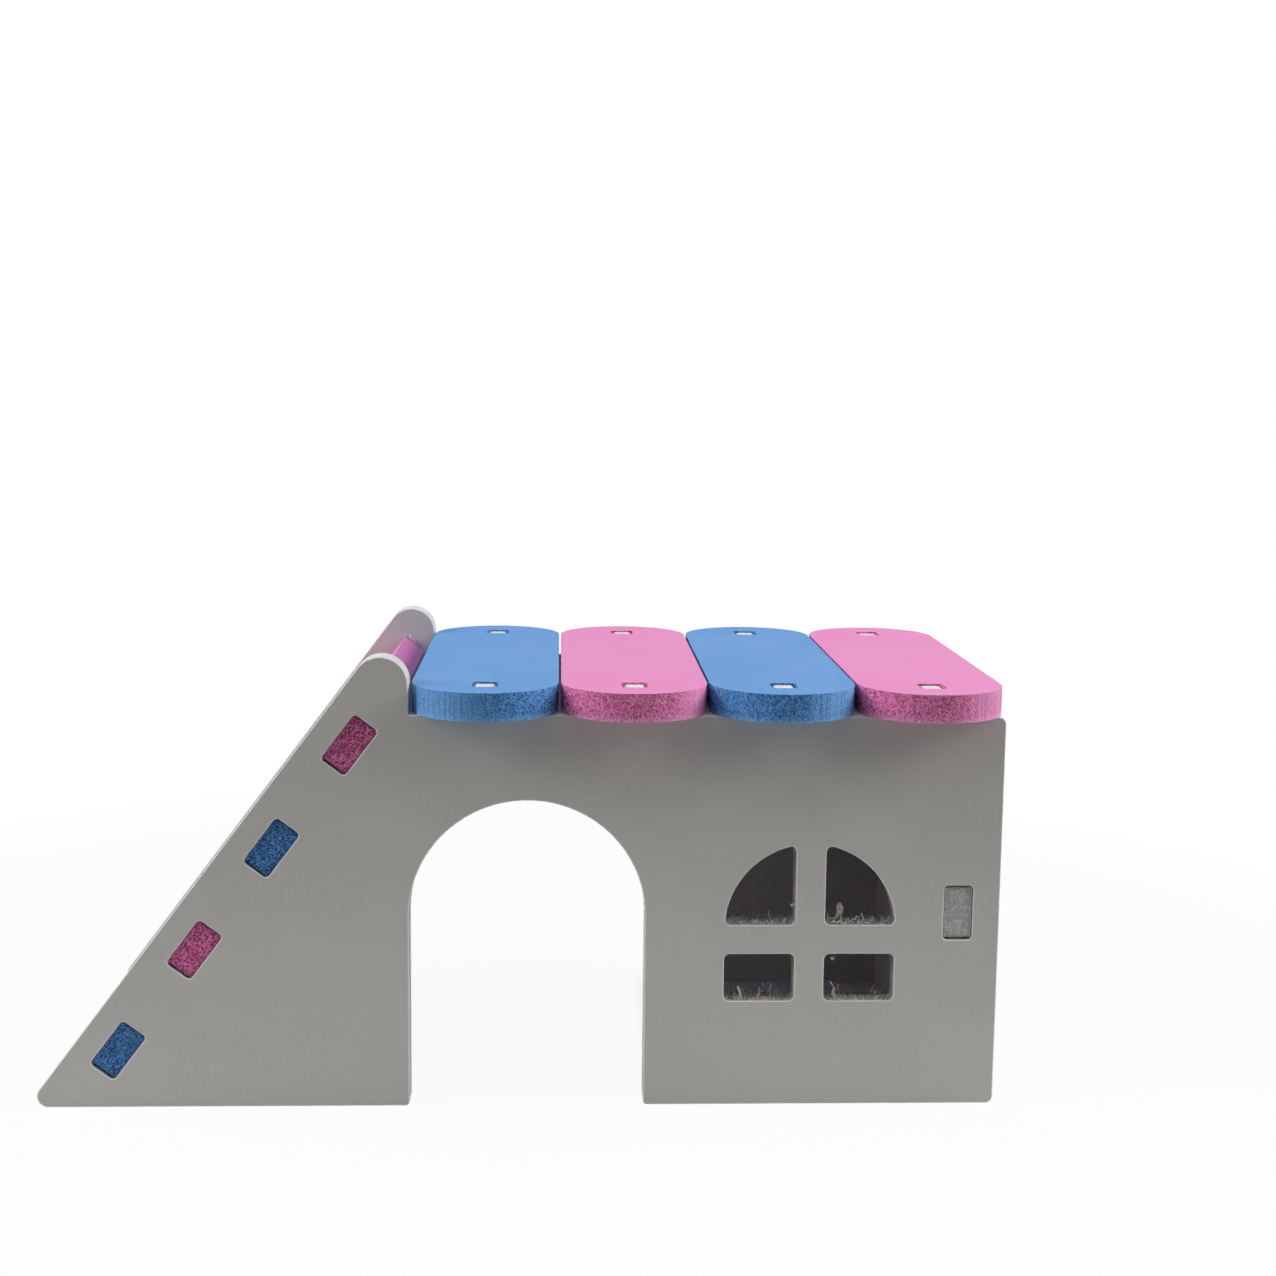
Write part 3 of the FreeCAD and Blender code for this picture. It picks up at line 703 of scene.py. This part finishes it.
def board_face(name, colour, roughness):
    """Smooth skin of the foamed sheet: faint clouds, a fine grain and a few dark flecks."""
    material, graph, shader, place = new_material(name)
    cloud = graph.ramp(noise(graph, place, CLOUD_SIZE, detail=3.0), *CLOUD_CONTRAST)
    clouded = mottled(graph, cloud, colour, CLOUD_SHADES)
    speckle = graph.ramp(noise(graph, place, GRAIN_SIZE), *GRAIN_CONTRAST)
    grained = graph.blend(speckle, clouded, shade(colour, GRAIN_SHADE))
    cells = graph.add("ShaderNodeTexVoronoi", {"Vector": place, "Scale": 1.0 / FLECK_SPACING})
    fleck = graph.ramp(cells.outputs["Distance"], *FLECK_BORDER)
    rare = graph.add("ShaderNodeSeparateColor", {0: cells.outputs["Color"]}).outputs["Red"]
    shown = graph.times(fleck, graph.ramp(rare, *FLECK_RARITY))
    graph.give(shader.inputs["Base Color"], graph.blend(shown, grained, shade(colour, FLECK_SHADE)))
    smoothest, roughest = roughness - SKIN_ROUGHNESS_SPREAD, roughness + SKIN_ROUGHNESS_SPREAD
    graph.give(shader.inputs["Roughness"], graph.ramp(cloud, 0.0, 1.0, smoothest, roughest))
    shader.inputs["Specular IOR Level"].default_value = SKIN_GLOSS
    height = noise(graph, place, SKIN_BUMP_SIZE, detail=3.0)
    graph.give(shader.inputs["Normal"], graph.bump(height, SKIN_BUMP_STRENGTH, SKIN_BUMP_HEIGHT))
    return material


def cut_edge(name, colour, hollow, wear_and_highlight, skin, line, streaked=0.0):
    """Cut edge of the foamed sheet: open cells with painted shade in their hollows and low folds, a
    painted highlight on the ridges round them and along the arris, and blade streaks in a lighter
    wear colour.

    The skin colour is painted shade: on the smoothed long sides of a step, tinted on the pink steps
    as a painted reflection of the blue boards beside them, and on the walls inside a hole.
    """
    material, graph, shader, place = new_material(name)
    patch = graph.ramp(noise(graph, place, PATCH_SIZE), *PATCH_CONTRAST)
    base = mottled(graph, patch, colour, PATCH_SHADES)
    if streaked:
        base = graph.blend(graph.times(graph.kept("streak"), streaked), base, shade(wear_and_highlight))
    # painted shade on a step's sealed sides, in the fourth colour of its cut
    sealed = graph.kept("sealed")
    base = graph.blend(sealed, base, shade(skin))

    folds = noise(graph, place, WRINKLE_SIZE, detail=3.0, Distortion=WRINKLE_TWIST)
    wrinkle = graph.ramp(folds, *WRINKLE_CONTRAST)
    pit = graph.kept("pit")
    # painted highlight: the raised cell walls take the lighter colour where the wrinkles rise
    rim = graph.ramp(pit, RIDGE_END, 0.0, 0.0, RIDGE_HIGHLIGHT)
    ridge = graph.times(rim, graph.times(graph.rest(sealed), wrinkle))
    ridged = graph.blend(ridge, base, shade(wear_and_highlight))
    # painted shade: the grain darkens where the wrinkles sink, as the bump does
    grain = graph.times(graph.rest(wrinkle), WRINKLE_SHADE)
    wrinkled = graph.blend(grain, ridged, shade(hollow))
    # painted shade in the open cells, darkest where they sink deepest
    depth = graph.ramp(pit, *HOLLOW_SHADE_BORDER, 0.0, HOLLOW_SHADE_STRENGTH)
    pitted = graph.blend(depth, wrinkled, shade(hollow))

    # painted highlight along the rounded arris; a slat's lower band up to its skin curl takes the
    # same lighter colour
    arris = graph.kept("arris")
    arris_highlighted = graph.blend(graph.times(arris, line), pitted, shade(wear_and_highlight))
    # painted shade on the walls inside the holes, all but their arris
    inner = graph.times(graph.kept("bore"), graph.rest(arris))
    graph.give(shader.inputs["Base Color"], graph.blend(inner, arris_highlighted, shade(skin)))
    for label, value in CUT_FINISH.items():
        shader.inputs[label].default_value = value
    graph.give(shader.inputs["Normal"], graph.bump(wrinkle, CUT_BUMP_STRENGTH, CUT_BUMP_HEIGHT))
    return material


def loose_foam(name, colour):
    """Torn crumbs and fibres of the sheet, in lighter and darker patches."""
    material, graph, shader, place = new_material(name)
    shreds = graph.ramp(noise(graph, place, SHRED_SIZE, detail=3.0), *SHRED_CONTRAST)
    graph.give(shader.inputs["Base Color"], mottled(graph, shreds, colour, SHRED_SHADES))
    shader.inputs["Roughness"].default_value = SHRED_ROUGHNESS
    return material


GREY = (0.62, 0.611, 0.576)
BLUE = (0.115, 0.295, 0.625)
PINK = (0.76, 0.262, 0.525)
FACES = {
    "panel_board": board_face("panel_face", GREY, roughness=0.6),
    "blue_board": board_face("blue_face", BLUE, roughness=0.55),
    "pink_board": board_face("pink_face", PINK, roughness=0.55),
}
# cut edges: colour of the cell walls, painted shade for the hollows, colour of the streaks with the
# painted highlight on ridges and arris, and painted shade for the sealed sides and the walls inside
# holes
GREY_EDGE = ((0.86, 0.855, 0.84), (0.77, 0.76, 0.75), (0.95, 0.945, 0.935), (0.40, 0.39, 0.38))
# the end wall is cut from the same sheet as the side boards; its darker cut colours are a painted
# shade, for tenon ends that sit recessed in their slots
WALL_SHADED_EDGE = ((0.61, 0.605, 0.585), (0.44, 0.435, 0.425), (0.80, 0.795, 0.785), (0.60, 0.59, 0.57))
# a step's fourth colour is painted shade for its long sides; on the pink step it leans violet, a
# painted reflection of the blue boards beside it
BLUE_STEP_EDGE = ((0.10, 0.31, 0.73), (0.012, 0.05, 0.18), (0.26, 0.50, 0.86), (0.12, 0.25, 0.52))
PINK_STEP_EDGE = ((0.98, 0.23, 0.53), (0.34, 0.03, 0.12), (0.97, 0.42, 0.69), (0.63, 0.225, 0.52))
BLUE_SLAT_EDGE = ((0.08, 0.30, 0.75), (0.008, 0.038, 0.15), (0.25, 0.53, 0.93), (0.09, 0.28, 0.62))
PINK_SLAT_EDGE = ((0.98, 0.215, 0.525), (0.28, 0.02, 0.105), (0.99, 0.47, 0.78), (0.76, 0.24, 0.50))
# line: how strongly the painted highlight lies along the arris; the lighter colour also marks the
# streaks
EDGES = {
    "panel_board": cut_edge("panel_cut_edge", *GREY_EDGE, line=0.95),
    "blue_board": cut_edge("blue_cut_edge", *BLUE_STEP_EDGE, line=0.25),
    "pink_board": cut_edge("pink_cut_edge", *PINK_STEP_EDGE, line=0.25),
}
# painted shade: the end wall's cut takes the darker colours
END_WALL_SHADED_EDGE = cut_edge("wall_cut_edge_shaded", *WALL_SHADED_EDGE, line=0.6)
SLAT_EDGES = {
    "blue_board": cut_edge("blue_slat_edge", *BLUE_SLAT_EDGE, line=0.6, streaked=0.6),
    "pink_board": cut_edge("pink_slat_edge", *PINK_SLAT_EDGE, line=0.6, streaked=0.6),
}
TORN_GREY = (0.73, 0.715, 0.69)
TORN_PINK = (0.80, 0.62, 0.74)
FUZZ = loose_foam("torn_foam", TORN_GREY)
PINK_FUZZ = loose_foam("torn_pink_foam", TORN_PINK)


# ---------------------------------------------------------------- the house

def alternate(number):
    """Blue boards and pink boards take turns, blue first."""
    return "pink_board" if number % 2 else "blue_board"


def board_values(cut, seed):
    """What every board needs: its thickness, the sizes of its cut and its seed."""
    sizes = {label: size * MM for label, size in zip(CUT_SIZES, cut)}
    return {"Thickness": BOARD, **sizes, "Seed": seed}


def house_board(tree, node, name, slot, turn, place, corner, edge, values):
    """One fixed board of the house, cut to its node's outline."""
    curve = outline_curve(f"{name}_outline", board_outline(node, turn, place))
    values = {**values, "Corner radius": corner, "Place": place, "Turn": Vector(turn),
              "Face material": FACES[slot], "Edge material": edge}
    dressed(grow(name, tree, values, curve), node, "house")


def side_place(side):
    """A side board is drawn from the house's own origin, in the middle of its thickness."""
    return Vector((0.0, middle(f"{side}_side_panel").y, 0.0))


def side_boards(tree):
    """The front board with the doorway and the window, and the rear board."""
    for seed, side in enumerate(("front", "rear")):
        house_board(tree, f"{side}_side_panel", f"{side}_side_board", "panel_board",
                    SIDE_TURN, side_place(side), PANEL_CORNER, EDGES["panel_board"],
                    board_values(PANEL_CUT, seed))


def end_wall(tree):
    """The upright wall between the side boards."""
    house_board(tree, "end_wall", "end_wall_board", "panel_board", WALL_TURN, middle("end_wall"),
                CROSS_CORNER, END_WALL_SHADED_EDGE, board_values(WALL_CUT, WALL_SEED))


def ladder_step(tree, number):
    """One sloping step of the ladder wall, counted from 0 at the ground."""
    node, slot = f"ladder_step_{number + 1}", alternate(number)
    values = {**board_values(STEP_CUT, STEP_SEED + number), "Smooth sides": SMOOTH_SIDES}
    house_board(tree, node, f"ladder_board_{number + 1}", slot, STEP_TURN, middle(node),
                CROSS_CORNER, EDGES[slot], values)


def roof_slat(tree, number):
    """One loose slat of the roof, counted from 0 beside the ladder."""
    node, slot = f"roof_slat_{number + 1}", alternate(number)
    streak_start, streak_end = DRAGGED[number]
    values = {
        **board_values(SLAT_CUT, SLAT_SEED + number),
        "Streak start": streak_start, "Streak end": streak_end,
        "Skin curl": SKIN_CURL, "Calm ends": CALM_ENDS,
        "Width": SLAT_WIDTH, "Length": SLAT_LENGTH, "Mortise width": MORTISE_WIDTH,
        "Mortise depth": MORTISE_DEPTH, "Mortise corner": MORTISE_CORNER,
        "Mortise reach": SIDE_BOARD_MIDDLE, "Place": middle(node),
        "Face material": FACES[slot], "Edge material": SLAT_EDGES[slot],
    }
    dressed(grow(f"roof_board_{number + 1}", tree, values), node, f"slat_{number + 1}")


def build_house():
    """All eleven boards, each in the place of its plain solid."""
    cut_board = cut_board_group()
    boards = house_board_tree(cut_board)
    slats = roof_slat_tree(cut_board)
    side_boards(boards)
    end_wall(boards)
    for number in range(STEP_COUNT):
        ladder_step(boards, number)
    for number in range(SLAT_COUNT):
        roof_slat(slats, number)


# ---------------------------------------------------------------- torn foam

def sill_fuzz_tree():
    """Short bent fibres that stand all over the faces that the tree runs on."""
    inputs = (("Geometry", "Geometry"), ("Density", "Float"), ("Length", "Float"),
              ("Radius", "Float"), ("Bend", "Float"), ("Wander", "Float"), ("Seed", "Int"),
              ("Fibre material", "Material"))
    graph, given, result = new_tree("sill_fuzz", inputs)
    scatter = {"Mesh": given["Geometry"], "Density": given["Density"], "Seed": given["Seed"]}
    roots = graph.add("GeometryNodeDistributePointsOnFaces", scatter)
    line = graph.add("GeometryNodeCurvePrimitiveLine", {"End": graph.point(z=given["Length"])})
    spine = graph.add("GeometryNodeResampleCurve", {"Curve": line, "Count": FIBRE_POINTS})
    reach = graph.add("GeometryNodeSplineParameter").outputs["Factor"]
    lean = graph.times(graph.math("POWER", reach, FIBRE_LATE_BEND), given["Bend"])
    bent = graph.add("GeometryNodeSetPosition", {"Geometry": spine, "Offset": graph.point(x=lean)})
    ring = graph.add("GeometryNodeCurvePrimitiveCircle",
                     {"Resolution": FIBRE_SIDES, "Radius": given["Radius"]})
    tube = {"Curve": graph.keep(bent, "reach", reach), "Profile Curve": ring, "Fill Caps": True,
            "Scale": graph.math("MULTIPLY_ADD", reach, -FIBRE_TAPER, 1.0)}
    fibre = graph.add("GeometryNodeCurveToMesh", tube)
    leans = {"Min": (-FIBRE_TILT, -FIBRE_TILT, 0.0), "Max": (FIBRE_TILT, FIBRE_TILT, FIBRE_TURN),
             "Seed": given["Seed"]}
    tilt = graph.add("FunctionNodeRandomValue", leans, data_type="FLOAT_VECTOR")
    lot = {"Min_001": 0.0, "Max_001": 1.0, "Seed": given["Seed"]}
    chance = graph.add("FunctionNodeRandomValue", lot, data_type="FLOAT").outputs["Value"]
    rare = graph.math("POWER", chance, FIBRE_RARITY)
    size = graph.math("MULTIPLY_ADD", rare, FIBRE_GROWTH, FIBRE_SHORTEST)
    standing = {"Points": roots, "Instance": fibre, "Rotation": tilt, "Scale": size}
    fibres = graph.add("GeometryNodeInstanceOnPoints", standing)
    real = graph.add("GeometryNodeRealizeInstances", {"Geometry": fibres})
    drift = {"Vector": graph.add("GeometryNodeInputPosition"), "Scale": 1.0 / FIBRE_WAVE}
    waves = graph.add("ShaderNodeTexNoise", drift).outputs["Color"]
    far = graph.add("GeometryNodeInputNamedAttribute", {"Name": "reach"}, data_type="FLOAT")
    sway = graph.times(far.outputs["Attribute"], given["Wander"])
    moved = graph.longer(graph.sum(waves, FIBRE_SWAY), sway)
    wavy = graph.add("GeometryNodeSetPosition", {"Geometry": real, "Offset": moved})
    last = {"Geometry": wavy, "Material": given["Fibre material"]}
    graph.give(result, graph.add("GeometryNodeSetMaterial", last))
    return graph.tree


def panes():
    """The four panes as (left, right, sill height) in the front board, lowest row first."""
    loops = board_outline("front_side_panel", SIDE_TURN, side_place("front"))
    holes = []
    for loop in loops[1:]:
        if abs(wound_area(loop)) > SMALLEST_PANE:
            across = [corner.x for corner in loop]
            holes.append((min(across), max(across), min(corner.y for corner in loop)))
    return sorted(holes, key=lambda hole: (round(hole[2] / MM), hole[0]))


def sill_faces(holes, strip):
    """One level strip on the sill of each pane, just under the surface of the cut edge."""
    front, rear = (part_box("front_side_panel")[0].y + depth * MM for depth in strip)
    corners, faces = [], []
    for left, right, sill in holes:
        first = len(corners)
        height = sill - SILL_ROOT
        corners += [(left + SILL_MARGIN, front, height), (right - SILL_MARGIN, front, height),
                    (right - SILL_MARGIN, rear, height), (left + SILL_MARGIN, rear, height)]
        faces.append(tuple(range(first, first + 4)))
    mesh = bpy.data.meshes.new("sills")
    mesh.from_pydata(corners, [], faces)
    return mesh


def strand(name, spread, path, count, material):
    """Several thin fibres that run loosely along one path, as one piece of the house."""
    curve = bpy.data.curves.new("strand", "CURVE")
    curve.dimensions = "3D"
    curve.bevel_depth = STRAND_RADIUS
    curve.bevel_resolution = STRAND_ROUNDNESS
    curve.resolution_u = STRAND_STEPS
    curve.use_fill_caps = True
    halfway = [(one + two) / 2 for one, two in zip(path, path[1:])]
    path = path[:1] + [place for pair in zip(halfway, path[1:]) for place in pair]
    for _ in range(count):
        spline = curve.splines.new("NURBS")
        spline.points.add(len(path) - 1)
        for point, place in zip(spline.points, path):
            shift = Vector([STRAY.uniform(-spread, spread) for _ in range(3)])
            point.co = (*(place + shift), 1.0)
            point.radius = STRAY.uniform(*STRAND_SWELL)
        spline.order_u = STRAND_ORDER
        spline.use_endpoint_u = True
    curve.materials.append(material)
    piece = plain_piece(name, linked(f"{name}_host", curve))
    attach(piece, "house")
    return piece


def torn_strands(holes):
    """The longer shreds in the window, most of them rooted on a sill, each along its own path.

    A path is given in millimetres, sideways from the pane's left edge and up from its sill.
    """
    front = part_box("front_side_panel")[0].y
    for name, pane, depth, spread, count, path in STRANDS:
        left, _, sill = holes[pane]
        points = [Vector((left + across * MM, front + depth * MM, sill + up * MM))
                  for across, up in path]
        strand(name, spread * MM, points, count, FUZZ)


def torn_step():
    """Torn skin where the upper end of the top step meets the rear board."""
    node = f"ladder_step_{STEP_COUNT}"
    low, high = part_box(node)
    uphill = Vector((math.cos(LADDER_SLOPE), 0.0, math.sin(LADDER_SLOPE)))
    outward = Vector((-math.sin(LADDER_SLOPE), 0.0, math.cos(LADDER_SLOPE)))
    width = (high.x - low.x - BOARD * math.sin(LADDER_SLOPE)) / math.cos(LADDER_SLOPE)
    corner = (low + high) / 2 + uphill * width / 2 + outward * BOARD / 2
    corner.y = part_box("rear_side_panel")[0].y - STEP_TEAR_SPREAD * MM
    points = [corner - outward * inward * MM + uphill * up * MM for inward, up in STEP_TEAR]
    tear = strand("step_tear", STEP_TEAR_SPREAD * MM, points, STEP_TEAR_FIBRES, PINK_FUZZ)


def fray_sills(holes):
    """Fine fibres all along the sills of the panes, in three beds."""
    tree = sill_fuzz_tree()
    for name, strip, density, length, radius, bend, wander, seed in FRAYS:
        values = {"Density": density / MM ** 2, "Length": length * MM, "Radius": radius * MM,
                  "Bend": bend * MM, "Wander": wander * MM, "Seed": seed, "Fibre material": FUZZ}
        fuzz = grow(name, tree, values, sill_faces(holes, strip))
        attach(fuzz, "house")


def tear_foam():
    """All the torn foam: on the sills, in the panes and at the top step."""
    holes = panes()
    fray_sills(holes)
    torn_strands(holes)
    torn_step()


# ---------------------------------------------------------------- light, floor and camera

def add_camera():
    """A camera in front of the house and a little above it, turned slightly to its right."""
    data = bpy.data.cameras.new("camera")
    data.sensor_width = SENSOR
    data.lens = FOCAL_PIXELS / RENDER_WIDTH * SENSOR
    data.clip_start = CLIP_START
    camera = linked("camera", data)
    level = Vector((math.sin(CAMERA_YAW), math.cos(CAMERA_YAW), 0.0))
    ahead = level * math.cos(CAMERA_PITCH) - Vector((0.0, 0.0, math.sin(CAMERA_PITCH)))
    right = Vector((math.cos(CAMERA_YAW), -math.sin(CAMERA_YAW), 0.0))
    up = right.cross(ahead)
    across = right * math.cos(CAMERA_ROLL) + up * math.sin(CAMERA_ROLL)
    above = up * math.cos(CAMERA_ROLL) - right * math.sin(CAMERA_ROLL)
    turn = Matrix((across, above, -ahead)).transposed().to_4x4()
    camera.matrix_world = Matrix.Translation(CAMERA_PLACE) @ turn
    bpy.context.scene.camera = camera


def softbox(name, place, aim, width, height, power):
    """A soft rectangular lamp turned towards a point."""
    data = bpy.data.lights.new(name, "AREA")
    data.shape = "RECTANGLE"
    data.size = width
    data.size_y = height
    data.energy = power
    lamp = linked(name, data)
    lamp.location = place
    lamp.rotation_euler = (Vector(aim) - Vector(place)).to_track_quat("-Z", "Y").to_euler()


def direct_ray(graph):
    """1 for rays from the camera and for mirrored or bent ones, 0 for stray light."""
    path = graph.add("ShaderNodeLightPath").outputs
    seen = graph.math("MAXIMUM", path["Is Camera Ray"], path["Is Glossy Ray"])
    return graph.math("MAXIMUM", seen, path["Is Transmission Ray"])


def add_world():
    """White to look at, dim as a light."""
    world = bpy.data.worlds.new("studio")
    bpy.context.scene.world = world
    world.use_nodes = True
    graph = Graph(world.node_tree)
    background = world.node_tree.nodes["Background"]
    background.inputs["Color"].default_value = WHITE
    strength = graph.math("MULTIPLY_ADD", direct_ray(graph), 1.0 - AMBIENT, AMBIENT)
    graph.give(background.inputs["Strength"], strength)


def room_floor(graph, place):
    """1 on the floor inside the room, which stays in the shade, and 0 outside it."""
    along = graph.part(place, "X")
    across = graph.math("ABSOLUTE", graph.part(place, "Y"))
    lengthways = graph.times(graph.ramp(along, *ROOM_LADDER), graph.ramp(along, *ROOM_END))
    return graph.times(lengthways, graph.ramp(across, *ROOM_SIDE))


def floor_material():
    """Matt floor that keeps shadows near the house and looks white further off."""
    material = bpy.data.materials.new("floor")
    material.use_nodes = True
    nodes = material.node_tree.nodes
    nodes.remove(nodes["Principled BSDF"])
    graph = Graph(material.node_tree)
    white = graph.add("ShaderNodeEmission", {"Color": WHITE})
    place = graph.add("ShaderNodeTexCoord").outputs["Object"]
    away = graph.add("ShaderNodeVectorMath", {0: place}, operation="LENGTH").outputs["Value"]
    colour = graph.blend(graph.ramp(away, *FLOOR_DARKENS), FLOOR_NEAR, FLOOR_FAR)
    matt = graph.add("ShaderNodeBsdfDiffuse", {"Color": colour})
    lift = graph.ramp(away, *FLOOR_WHITENS, FLOOR_LIFT, 1.0)
    open_floor = graph.rest(room_floor(graph, place))
    factor = graph.times(graph.times(lift, open_floor), direct_ray(graph))
    surface = graph.add("ShaderNodeMixShader", {0: factor, 1: matt, 2: white})
    graph.give(nodes["Material Output"].inputs["Surface"], surface)
    return material


def add_floor():
    """A pale floor that keeps the soft shadow of the house and fades into the white."""
    mesh = bpy.data.meshes.new("floor")
    corners = [(x * FLOOR_REACH, y * FLOOR_REACH, -FLOOR_DROP)
               for x, y in ((-1, -1), (1, -1), (1, 1), (-1, 1))]
    mesh.from_pydata(corners, [], [(0, 1, 2, 3)])
    mesh.materials.append(floor_material())
    linked("floor", mesh)


def light_house():
    """One broad lamp overhead and one to each side."""
    for lamp in LAMPS:
        softbox(*lamp)


build_house()
tear_foam()
add_world()
add_floor()
light_house()
add_camera()
bpy.context.scene.view_settings.view_transform = "Standard"
